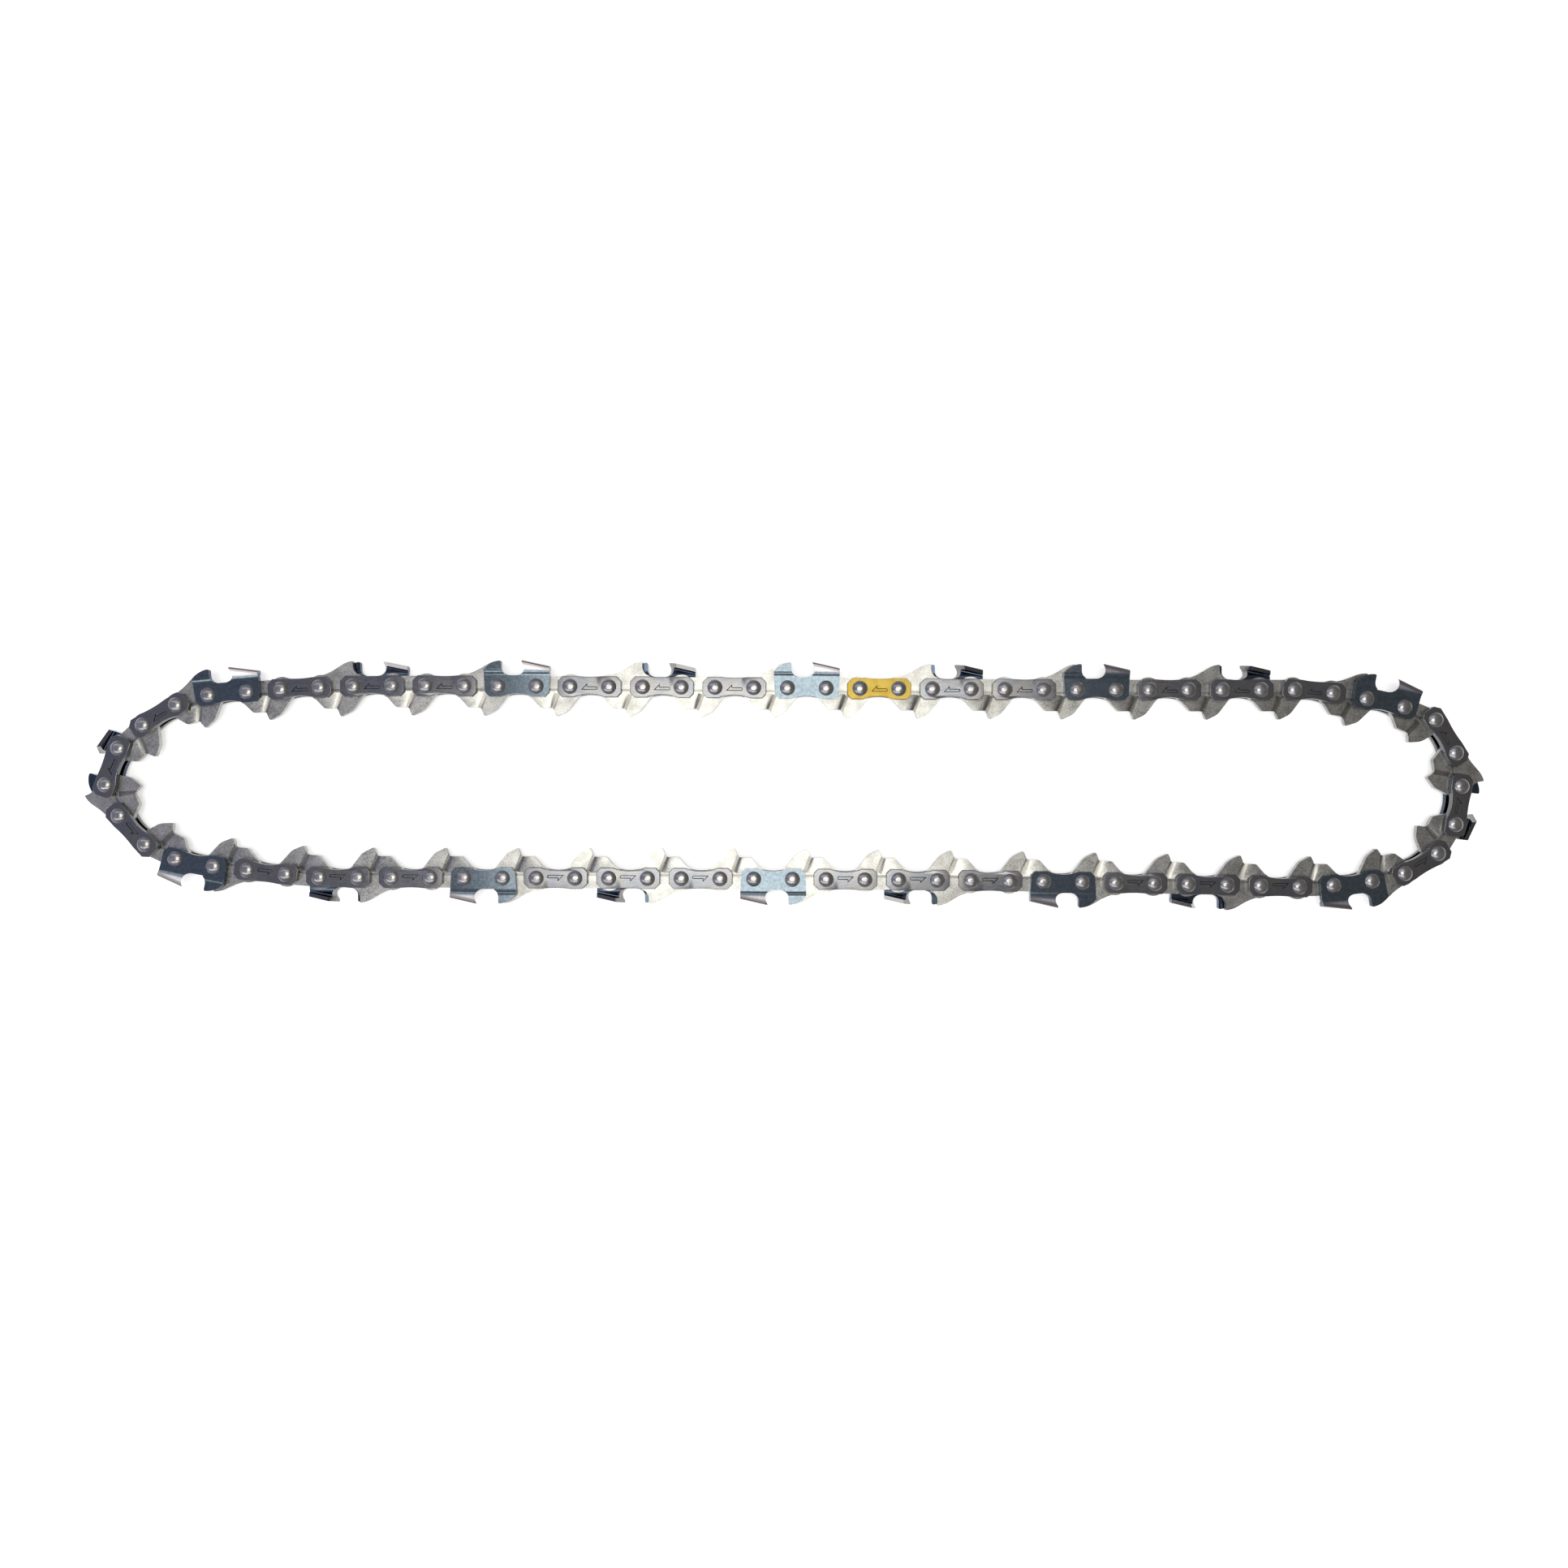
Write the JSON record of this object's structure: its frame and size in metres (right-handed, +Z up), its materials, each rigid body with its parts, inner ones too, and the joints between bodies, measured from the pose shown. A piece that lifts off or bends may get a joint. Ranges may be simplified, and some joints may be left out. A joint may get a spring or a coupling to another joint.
{
  "type": "chainsaw chain loop",
  "caption": "Closed saw chain lying on its side in a long flat oval: hooded cutters, bumper drive links and tie straps on shouldered rivets; its pivots open it to a ring.",
  "frame": {"origin": "under the middle of the loop's own box, on the surface that it lies on", "axes": "+X along the loop's length, +Y across it, +Z up, square to the plane in which the chain bends"},
  "size_m": [0.3614, 0.0646, 0.0062],
  "materials": {
    "cutter_steel": "blued, ground edges bright",
    "drive_steel": "matte, fine grained",
    "strap_steel": "dark satin",
    "gold_strap": "gold tinted satin",
    "rivet_steel": "polished dark"
  },
  "bodies": {
    "cutter_link_01": {"cutter_link_01": "cutter_steel"},
    "drive_link_01": {"drive_link_01": "drive_steel"},
    "tie_link_01": {"tie_link_01": "strap_steel"},
    "cutter_link_02": {"cutter_link_02": "cutter_steel"},
    "drive_link_02": {"drive_link_02": "drive_steel"},
    "tie_link_02": {"tie_link_02": "strap_steel"},
    "cutter_link_03": {"cutter_link_03": "cutter_steel"},
    "drive_link_03": {"drive_link_03": "drive_steel"},
    "tie_link_03": {"tie_link_03": "strap_steel"},
    "cutter_link_04": {"cutter_link_04": "cutter_steel"},
    "drive_link_04": {"drive_link_04": "drive_steel"},
    "tie_link_04": {"tie_link_04": "strap_steel"},
    "cutter_link_05": {"cutter_link_05": "cutter_steel"},
    "drive_link_05": {"drive_link_05": "drive_steel"},
    "tie_link_05": {"tie_link_05": "gold_strap"},
    "cutter_link_06": {"cutter_link_06": "cutter_steel"},
    "drive_link_06": {"drive_link_06": "drive_steel"},
    "tie_link_06": {"tie_link_06": "strap_steel"},
    "cutter_link_07": {"cutter_link_07": "cutter_steel"},
    "drive_link_07": {"drive_link_07": "drive_steel"},
    "tie_link_07": {"tie_link_07": "strap_steel"},
    "cutter_link_08": {"cutter_link_08": "cutter_steel"},
    "drive_link_08": {"drive_link_08": "drive_steel"},
    "tie_link_08": {"tie_link_08": "strap_steel"},
    "cutter_link_09": {"cutter_link_09": "cutter_steel"},
    "drive_link_09": {"drive_link_09": "drive_steel"},
    "tie_link_09": {"tie_link_09": "strap_steel"},
    "cutter_link_10": {"cutter_link_10": "cutter_steel"},
    "drive_link_10": {"drive_link_10": "drive_steel"},
    "tie_link_10": {"tie_link_10": "strap_steel"},
    "cutter_link_11": {"cutter_link_11": "cutter_steel"},
    "drive_link_11": {"drive_link_11": "drive_steel"},
    "tie_link_11": {"tie_link_11": "strap_steel"},
    "cutter_link_12": {"cutter_link_12": "cutter_steel"},
    "drive_link_12": {"drive_link_12": "drive_steel"},
    "tie_link_12": {"tie_link_12": "strap_steel"},
    "cutter_link_13": {"cutter_link_13": "cutter_steel"},
    "drive_link_13": {"drive_link_13": "drive_steel"},
    "tie_link_13": {"tie_link_13": "strap_steel"},
    "cutter_link_14": {"cutter_link_14": "cutter_steel"},
    "drive_link_14": {"drive_link_14": "drive_steel"},
    "tie_link_14": {"tie_link_14": "strap_steel"},
    "cutter_link_15": {"cutter_link_15": "cutter_steel"},
    "drive_link_15": {"drive_link_15": "drive_steel"},
    "tie_link_15": {"tie_link_15": "strap_steel"},
    "cutter_link_16": {"cutter_link_16": "cutter_steel"},
    "drive_link_16": {"drive_link_16": "drive_steel"},
    "tie_link_16": {"tie_link_16": "strap_steel"},
    "cutter_link_17": {"cutter_link_17": "cutter_steel"},
    "drive_link_17": {"drive_link_17": "drive_steel"},
    "tie_link_17": {"tie_link_17": "strap_steel"},
    "cutter_link_18": {"cutter_link_18": "cutter_steel"},
    "drive_link_18": {"drive_link_18": "drive_steel"},
    "tie_link_18": {"tie_link_18": "strap_steel"},
    "cutter_link_19": {"cutter_link_19": "cutter_steel"},
    "drive_link_19": {"drive_link_19": "drive_steel"},
    "tie_link_19": {"tie_link_19": "strap_steel"},
    "cutter_link_20": {"cutter_link_20": "cutter_steel"},
    "drive_link_20": {"drive_link_20": "drive_steel"},
    "tie_link_20": {"tie_link_20": "strap_steel"}
  },
  "joints": [
    {"name": "loop_opening", "type": "hinge", "parent": "tie_link_05", "child": "cutter_link_06", "pos_m": [0.03817, 0.0248, 0.00312], "axis": [0, 0, -1], "range_deg": [0, 6.21]},
    {"name": "cutter_06_rear_pivot", "type": "hinge", "parent": "cutter_link_06", "child": "drive_link_06", "pos_m": [0.04813, 0.02474, 0.00312], "axis": [0, 0, -1], "range_deg": [0, 6.31]},
    {"name": "tie_06_front_pivot", "type": "hinge", "parent": "drive_link_06", "child": "tie_link_06", "pos_m": [0.05681, 0.0247, 0.00312], "axis": [0, 0, -1], "range_deg": [0, 6.32]},
    {"name": "cutter_07_front_pivot", "type": "hinge", "parent": "tie_link_06", "child": "cutter_link_07", "pos_m": [0.07545, 0.02462, 0.00312], "axis": [0, 0, -1], "range_deg": [0, 6.09]},
    {"name": "cutter_07_rear_pivot", "type": "hinge", "parent": "cutter_link_07", "child": "drive_link_07", "pos_m": [0.08541, 0.02459, 0.00312], "axis": [0, 0, -1], "range_deg": [0, 5.83]},
    {"name": "tie_07_front_pivot", "type": "hinge", "parent": "drive_link_07", "child": "tie_link_07", "pos_m": [0.09409, 0.02457, 0.00312], "axis": [0, 0, -1], "range_deg": [0, 5.5]},
    {"name": "cutter_08_front_pivot", "type": "hinge", "parent": "tie_link_07", "child": "cutter_link_08", "pos_m": [0.11273, 0.02456, 0.00312], "axis": [0, 0, -1], "range_deg": [0, 5.05]},
    {"name": "cutter_08_rear_pivot", "type": "hinge", "parent": "cutter_link_08", "child": "drive_link_08", "pos_m": [0.12269, 0.02457, 0.00312], "axis": [0, 0, -1], "range_deg": [0, 5.18]},
    {"name": "tie_08_front_pivot", "type": "hinge", "parent": "drive_link_08", "child": "tie_link_08", "pos_m": [0.13137, 0.02459, 0.00312], "axis": [0, 0, -1], "range_deg": [0, 1.02]},
    {"name": "cutter_09_front_pivot", "type": "hinge", "parent": "tie_link_08", "child": "cutter_link_09", "pos_m": [0.14985, 0.02229, 0.00312], "axis": [0, 0, -1], "range_deg": [0, 2.5]},
    {"name": "cutter_09_rear_pivot", "type": "hinge", "parent": "cutter_link_09", "child": "drive_link_09", "pos_m": [0.15957, 0.02011, 0.00312], "axis": [0, 0, -1], "range_deg": [-3.12, 0]},
    {"name": "tie_09_front_pivot", "type": "hinge", "parent": "drive_link_09", "child": "tie_link_09", "pos_m": [0.16759, 0.01678, 0.00312], "axis": [0, 0, -1], "range_deg": [-29.84, 0]},
    {"name": "cutter_10_front_pivot", "type": "hinge", "parent": "tie_link_09", "child": "cutter_link_10", "pos_m": [0.17426, -0.00026, 0.00312], "axis": [0, 0, -1], "range_deg": [-29.09, 0]},
    {"name": "cutter_10_rear_pivot", "type": "hinge", "parent": "cutter_link_10", "child": "drive_link_10", "pos_m": [0.17267, -0.01009, 0.00312], "axis": [0, 0, -1], "range_deg": [-24.76, 0]},
    {"name": "tie_10_front_pivot", "type": "hinge", "parent": "drive_link_10", "child": "tie_link_10", "pos_m": [0.16819, -0.01752, 0.00312], "axis": [0, 0, -1], "range_deg": [-23.16, 0]},
    {"name": "cutter_11_front_pivot", "type": "hinge", "parent": "tie_link_10", "child": "cutter_link_11", "pos_m": [0.15121, -0.02464, 0.00312], "axis": [0, 0, -1], "range_deg": [-4.81, 0]},
    {"name": "cutter_11_rear_pivot", "type": "hinge", "parent": "cutter_link_11", "child": "drive_link_11", "pos_m": [0.14131, -0.02574, 0.00312], "axis": [0, 0, -1], "range_deg": [-3.35, 0]},
    {"name": "tie_11_front_pivot", "type": "hinge", "parent": "drive_link_11", "child": "tie_link_11", "pos_m": [0.13264, -0.02611, 0.00312], "axis": [0, 0, -1], "range_deg": [-4.24, 0]},
    {"name": "cutter_12_front_pivot", "type": "hinge", "parent": "tie_link_11", "child": "cutter_link_12", "pos_m": [0.114, -0.02565, 0.00312], "axis": [0, 0, -1], "range_deg": [0, 6.3]},
    {"name": "cutter_12_rear_pivot", "type": "hinge", "parent": "cutter_link_12", "child": "drive_link_12", "pos_m": [0.10404, -0.02544, 0.00312], "axis": [0, 0, -1], "range_deg": [0, 6.26]},
    {"name": "tie_12_front_pivot", "type": "hinge", "parent": "drive_link_12", "child": "tie_link_12", "pos_m": [0.09536, -0.02527, 0.00312], "axis": [0, 0, -1], "range_deg": [0, 6.12]},
    {"name": "cutter_13_front_pivot", "type": "hinge", "parent": "tie_link_12", "child": "cutter_link_13", "pos_m": [0.07673, -0.02495, 0.00312], "axis": [0, 0, -1], "range_deg": [0, 5.74]},
    {"name": "cutter_13_rear_pivot", "type": "hinge", "parent": "cutter_link_13", "child": "drive_link_13", "pos_m": [0.06677, -0.0248, 0.00312], "axis": [0, 0, -1], "range_deg": [0, 5.6]},
    {"name": "tie_13_front_pivot", "type": "hinge", "parent": "drive_link_13", "child": "tie_link_13", "pos_m": [0.05809, -0.02468, 0.00312], "axis": [0, 0, -1], "range_deg": [0, 5.59]},
    {"name": "cutter_14_front_pivot", "type": "hinge", "parent": "tie_link_13", "child": "cutter_link_14", "pos_m": [0.03945, -0.02447, 0.00312], "axis": [0, 0, -1], "range_deg": [0, 5.69]},
    {"name": "cutter_14_rear_pivot", "type": "hinge", "parent": "cutter_link_14", "child": "drive_link_14", "pos_m": [0.02949, -0.02437, 0.00312], "axis": [0, 0, -1], "range_deg": [0, 5.82]},
    {"name": "tie_14_front_pivot", "type": "hinge", "parent": "drive_link_14", "child": "tie_link_14", "pos_m": [0.02081, -0.0243, 0.00312], "axis": [0, 0, -1], "range_deg": [0, 5.97]},
    {"name": "cutter_15_front_pivot", "type": "hinge", "parent": "tie_link_14", "child": "cutter_link_15", "pos_m": [0.00217, -0.02416, 0.00312], "axis": [0, 0, -1], "range_deg": [0, 6.19]},
    {"name": "cutter_15_rear_pivot", "type": "hinge", "parent": "cutter_link_15", "child": "drive_link_15", "pos_m": [-0.00779, -0.0241, 0.00312], "axis": [0, 0, -1], "range_deg": [0, 6.25]},
    {"name": "tie_05_front_pivot", "type": "hinge", "parent": "tie_link_05", "child": "drive_link_05", "pos_m": [0.01953, 0.02492, 0.00312], "axis": [0, 0, 1], "range_deg": [0, 6.04]},
    {"name": "cutter_05_rear_pivot", "type": "hinge", "parent": "drive_link_05", "child": "cutter_link_05", "pos_m": [0.01085, 0.02498, 0.00312], "axis": [0, 0, 1], "range_deg": [0, 6.01]},
    {"name": "cutter_05_front_pivot", "type": "hinge", "parent": "cutter_link_05", "child": "tie_link_04", "pos_m": [0.00089, 0.02505, 0.00312], "axis": [0, 0, 1], "range_deg": [0, 6.05]},
    {"name": "tie_04_front_pivot", "type": "hinge", "parent": "tie_link_04", "child": "drive_link_04", "pos_m": [-0.01774, 0.02518, 0.00312], "axis": [0, 0, 1], "range_deg": [0, 6.27]},
    {"name": "cutter_04_rear_pivot", "type": "hinge", "parent": "drive_link_04", "child": "cutter_link_04", "pos_m": [-0.02642, 0.02524, 0.00312], "axis": [0, 0, 1], "range_deg": [0, 6.41]},
    {"name": "cutter_04_front_pivot", "type": "hinge", "parent": "cutter_link_04", "child": "tie_link_03", "pos_m": [-0.03638, 0.02531, 0.00312], "axis": [0, 0, 1], "range_deg": [0, 6.58]},
    {"name": "tie_03_front_pivot", "type": "hinge", "parent": "tie_link_03", "child": "drive_link_03", "pos_m": [-0.05502, 0.02543, 0.00312], "axis": [0, 0, 1], "range_deg": [0, 6.78]},
    {"name": "cutter_03_rear_pivot", "type": "hinge", "parent": "drive_link_03", "child": "cutter_link_03", "pos_m": [-0.0637, 0.02549, 0.00312], "axis": [0, 0, 1], "range_deg": [0, 6.77]},
    {"name": "cutter_03_front_pivot", "type": "hinge", "parent": "cutter_link_03", "child": "tie_link_02", "pos_m": [-0.07366, 0.02554, 0.00312], "axis": [0, 0, 1], "range_deg": [0, 6.64]},
    {"name": "tie_02_front_pivot", "type": "hinge", "parent": "tie_link_02", "child": "drive_link_02", "pos_m": [-0.0923, 0.02562, 0.00312], "axis": [0, 0, 1], "range_deg": [0, 5.87]},
    {"name": "cutter_02_rear_pivot", "type": "hinge", "parent": "drive_link_02", "child": "cutter_link_02", "pos_m": [-0.10098, 0.02565, 0.00312], "axis": [0, 0, 1], "range_deg": [0, 4.63]},
    {"name": "cutter_02_front_pivot", "type": "hinge", "parent": "cutter_link_02", "child": "tie_link_01", "pos_m": [-0.11094, 0.0255, 0.00312], "axis": [0, 0, 1], "range_deg": [0, 4.07]},
    {"name": "tie_01_front_pivot", "type": "hinge", "parent": "tie_link_01", "child": "drive_link_01", "pos_m": [-0.12956, 0.0247, 0.00312], "axis": [0, 0, 1], "range_deg": [-2.72, 0]},
    {"name": "cutter_01_rear_pivot", "type": "hinge", "parent": "drive_link_01", "child": "cutter_link_01", "pos_m": [-0.13822, 0.02409, 0.00312], "axis": [0, 0, 1], "range_deg": [-4.12, 0]},
    {"name": "cutter_01_front_pivot", "type": "hinge", "parent": "cutter_link_01", "child": "tie_link_20", "pos_m": [-0.14814, 0.0232, 0.00312], "axis": [0, 0, 1], "range_deg": [-16.48, 0]},
    {"name": "tie_20_front_pivot", "type": "hinge", "parent": "tie_link_20", "child": "drive_link_20", "pos_m": [-0.16495, 0.01547, 0.00312], "axis": [0, 0, 1], "range_deg": [-14.28, 0]},
    {"name": "cutter_20_rear_pivot", "type": "hinge", "parent": "drive_link_20", "child": "cutter_link_20", "pos_m": [-0.17126, 0.00951, 0.00312], "axis": [0, 0, 1], "range_deg": [-22.86, 0]},
    {"name": "cutter_20_front_pivot", "type": "hinge", "parent": "cutter_link_20", "child": "tie_link_19", "pos_m": [-0.1746, 0.00013, 0.00312], "axis": [0, 0, 1], "range_deg": [-32.03, 0]},
    {"name": "tie_19_front_pivot", "type": "hinge", "parent": "tie_link_19", "child": "drive_link_19", "pos_m": [-0.16441, -0.01517, 0.00312], "axis": [0, 0, 1], "range_deg": [-16.3, 0]},
    {"name": "cutter_19_rear_pivot", "type": "hinge", "parent": "drive_link_19", "child": "cutter_link_19", "pos_m": [-0.15656, -0.01889, 0.00312], "axis": [0, 0, 1], "range_deg": [-12.01, 0]},
    {"name": "cutter_19_front_pivot", "type": "hinge", "parent": "cutter_link_19", "child": "tie_link_18", "pos_m": [-0.1468, -0.02085, 0.00312], "axis": [0, 0, 1], "range_deg": [-2.19, 0]},
    {"name": "tie_18_front_pivot", "type": "hinge", "parent": "tie_link_18", "child": "drive_link_18", "pos_m": [-0.12827, -0.02289, 0.00312], "axis": [0, 0, 1], "range_deg": [0, 5.62]},
    {"name": "cutter_18_rear_pivot", "type": "hinge", "parent": "drive_link_18", "child": "cutter_link_18", "pos_m": [-0.11963, -0.02368, 0.00312], "axis": [0, 0, 1], "range_deg": [0, 1.75]},
    {"name": "cutter_18_front_pivot", "type": "hinge", "parent": "cutter_link_18", "child": "tie_link_17", "pos_m": [-0.10967, -0.02372, 0.00312], "axis": [0, 0, 1], "range_deg": [0, 7.13]},
    {"name": "tie_17_front_pivot", "type": "hinge", "parent": "tie_link_17", "child": "drive_link_17", "pos_m": [-0.09103, -0.02378, 0.00312], "axis": [0, 0, 1], "range_deg": [0, 6.63]},
    {"name": "cutter_17_rear_pivot", "type": "hinge", "parent": "drive_link_17", "child": "cutter_link_17", "pos_m": [-0.08235, -0.02381, 0.00312], "axis": [0, 0, 1], "range_deg": [0, 6.33]},
    {"name": "cutter_17_front_pivot", "type": "hinge", "parent": "cutter_link_17", "child": "tie_link_16", "pos_m": [-0.07239, -0.02384, 0.00312], "axis": [0, 0, 1], "range_deg": [0, 6.09]},
    {"name": "tie_16_front_pivot", "type": "hinge", "parent": "tie_link_16", "child": "drive_link_16", "pos_m": [-0.05375, -0.0239, 0.00312], "axis": [0, 0, 1], "range_deg": [0, 5.95]},
    {"name": "cutter_16_rear_pivot", "type": "hinge", "parent": "drive_link_16", "child": "cutter_link_16", "pos_m": [-0.04507, -0.02393, 0.00312], "axis": [0, 0, 1], "range_deg": [0, 5.99]},
    {"name": "cutter_16_front_pivot", "type": "hinge", "parent": "cutter_link_16", "child": "tie_link_15", "pos_m": [-0.03511, -0.02397, 0.00312], "axis": [0, 0, 1], "range_deg": [0, 6.09]}
  ],
  "couplings": [
    {"joint": "cutter_06_rear_pivot", "follows": "loop_opening", "ratio": 1.0154},
    {"joint": "tie_06_front_pivot", "follows": "loop_opening", "ratio": 1.0162},
    {"joint": "cutter_07_front_pivot", "follows": "loop_opening", "ratio": 0.97996},
    {"joint": "cutter_07_rear_pivot", "follows": "loop_opening", "ratio": 0.93788},
    {"joint": "tie_07_front_pivot", "follows": "loop_opening", "ratio": 0.8856},
    {"joint": "cutter_08_front_pivot", "follows": "loop_opening", "ratio": 0.81282},
    {"joint": "cutter_08_rear_pivot", "follows": "loop_opening", "ratio": 0.8338},
    {"joint": "tie_08_front_pivot", "follows": "loop_opening", "ratio": 0.16275},
    {"joint": "cutter_09_front_pivot", "follows": "loop_opening", "ratio": 0.4025},
    {"joint": "cutter_09_rear_pivot", "follows": "loop_opening", "ratio": -0.50127},
    {"joint": "tie_09_front_pivot", "follows": "loop_opening", "ratio": -4.805},
    {"joint": "cutter_10_front_pivot", "follows": "loop_opening", "ratio": -4.6834},
    {"joint": "cutter_10_rear_pivot", "follows": "loop_opening", "ratio": -3.987},
    {"joint": "tie_10_front_pivot", "follows": "loop_opening", "ratio": -3.7289},
    {"joint": "cutter_11_front_pivot", "follows": "loop_opening", "ratio": -0.77449},
    {"joint": "cutter_11_rear_pivot", "follows": "loop_opening", "ratio": -0.5386},
    {"joint": "tie_11_front_pivot", "follows": "loop_opening", "ratio": -0.68226},
    {"joint": "cutter_12_front_pivot", "follows": "loop_opening", "ratio": 1.0132},
    {"joint": "cutter_12_rear_pivot", "follows": "loop_opening", "ratio": 1.0076},
    {"joint": "tie_12_front_pivot", "follows": "loop_opening", "ratio": 0.98468},
    {"joint": "cutter_13_front_pivot", "follows": "loop_opening", "ratio": 0.92318},
    {"joint": "cutter_13_rear_pivot", "follows": "loop_opening", "ratio": 0.90154},
    {"joint": "tie_13_front_pivot", "follows": "loop_opening", "ratio": 0.89944},
    {"joint": "cutter_14_front_pivot", "follows": "loop_opening", "ratio": 0.91554},
    {"joint": "cutter_14_rear_pivot", "follows": "loop_opening", "ratio": 0.93672},
    {"joint": "tie_14_front_pivot", "follows": "loop_opening", "ratio": 0.9611},
    {"joint": "cutter_15_front_pivot", "follows": "loop_opening", "ratio": 0.99618},
    {"joint": "cutter_15_rear_pivot", "follows": "loop_opening", "ratio": 1.0061},
    {"joint": "tie_05_front_pivot", "follows": "loop_opening", "ratio": 0.9719},
    {"joint": "cutter_05_rear_pivot", "follows": "loop_opening", "ratio": 0.96635},
    {"joint": "cutter_05_front_pivot", "follows": "loop_opening", "ratio": 0.97422},
    {"joint": "tie_04_front_pivot", "follows": "loop_opening", "ratio": 1.0092},
    {"joint": "cutter_04_rear_pivot", "follows": "loop_opening", "ratio": 1.0322},
    {"joint": "cutter_04_front_pivot", "follows": "loop_opening", "ratio": 1.059},
    {"joint": "tie_03_front_pivot", "follows": "loop_opening", "ratio": 1.0903},
    {"joint": "cutter_03_rear_pivot", "follows": "loop_opening", "ratio": 1.0892},
    {"joint": "cutter_03_front_pivot", "follows": "loop_opening", "ratio": 1.0686},
    {"joint": "tie_02_front_pivot", "follows": "loop_opening", "ratio": 0.94498},
    {"joint": "cutter_02_rear_pivot", "follows": "loop_opening", "ratio": 0.74492},
    {"joint": "cutter_02_front_pivot", "follows": "loop_opening", "ratio": 0.65404},
    {"joint": "tie_01_front_pivot", "follows": "loop_opening", "ratio": -0.43728},
    {"joint": "cutter_01_rear_pivot", "follows": "loop_opening", "ratio": -0.66246},
    {"joint": "cutter_01_front_pivot", "follows": "loop_opening", "ratio": -2.6538},
    {"joint": "tie_20_front_pivot", "follows": "loop_opening", "ratio": -2.2991},
    {"joint": "cutter_20_rear_pivot", "follows": "loop_opening", "ratio": -3.6804},
    {"joint": "cutter_20_front_pivot", "follows": "loop_opening", "ratio": -5.1567},
    {"joint": "tie_19_front_pivot", "follows": "loop_opening", "ratio": -2.624},
    {"joint": "cutter_19_rear_pivot", "follows": "loop_opening", "ratio": -1.933},
    {"joint": "cutter_19_front_pivot", "follows": "loop_opening", "ratio": -0.35177},
    {"joint": "tie_18_front_pivot", "follows": "loop_opening", "ratio": 0.90415},
    {"joint": "cutter_18_rear_pivot", "follows": "loop_opening", "ratio": 0.28097},
    {"joint": "cutter_18_front_pivot", "follows": "loop_opening", "ratio": 1.1474},
    {"joint": "tie_17_front_pivot", "follows": "loop_opening", "ratio": 1.0665},
    {"joint": "cutter_17_rear_pivot", "follows": "loop_opening", "ratio": 1.0188},
    {"joint": "cutter_17_front_pivot", "follows": "loop_opening", "ratio": 0.97976},
    {"joint": "tie_16_front_pivot", "follows": "loop_opening", "ratio": 0.9576},
    {"joint": "cutter_16_rear_pivot", "follows": "loop_opening", "ratio": 0.96371},
    {"joint": "cutter_16_front_pivot", "follows": "loop_opening", "ratio": 0.97942}
  ]
}
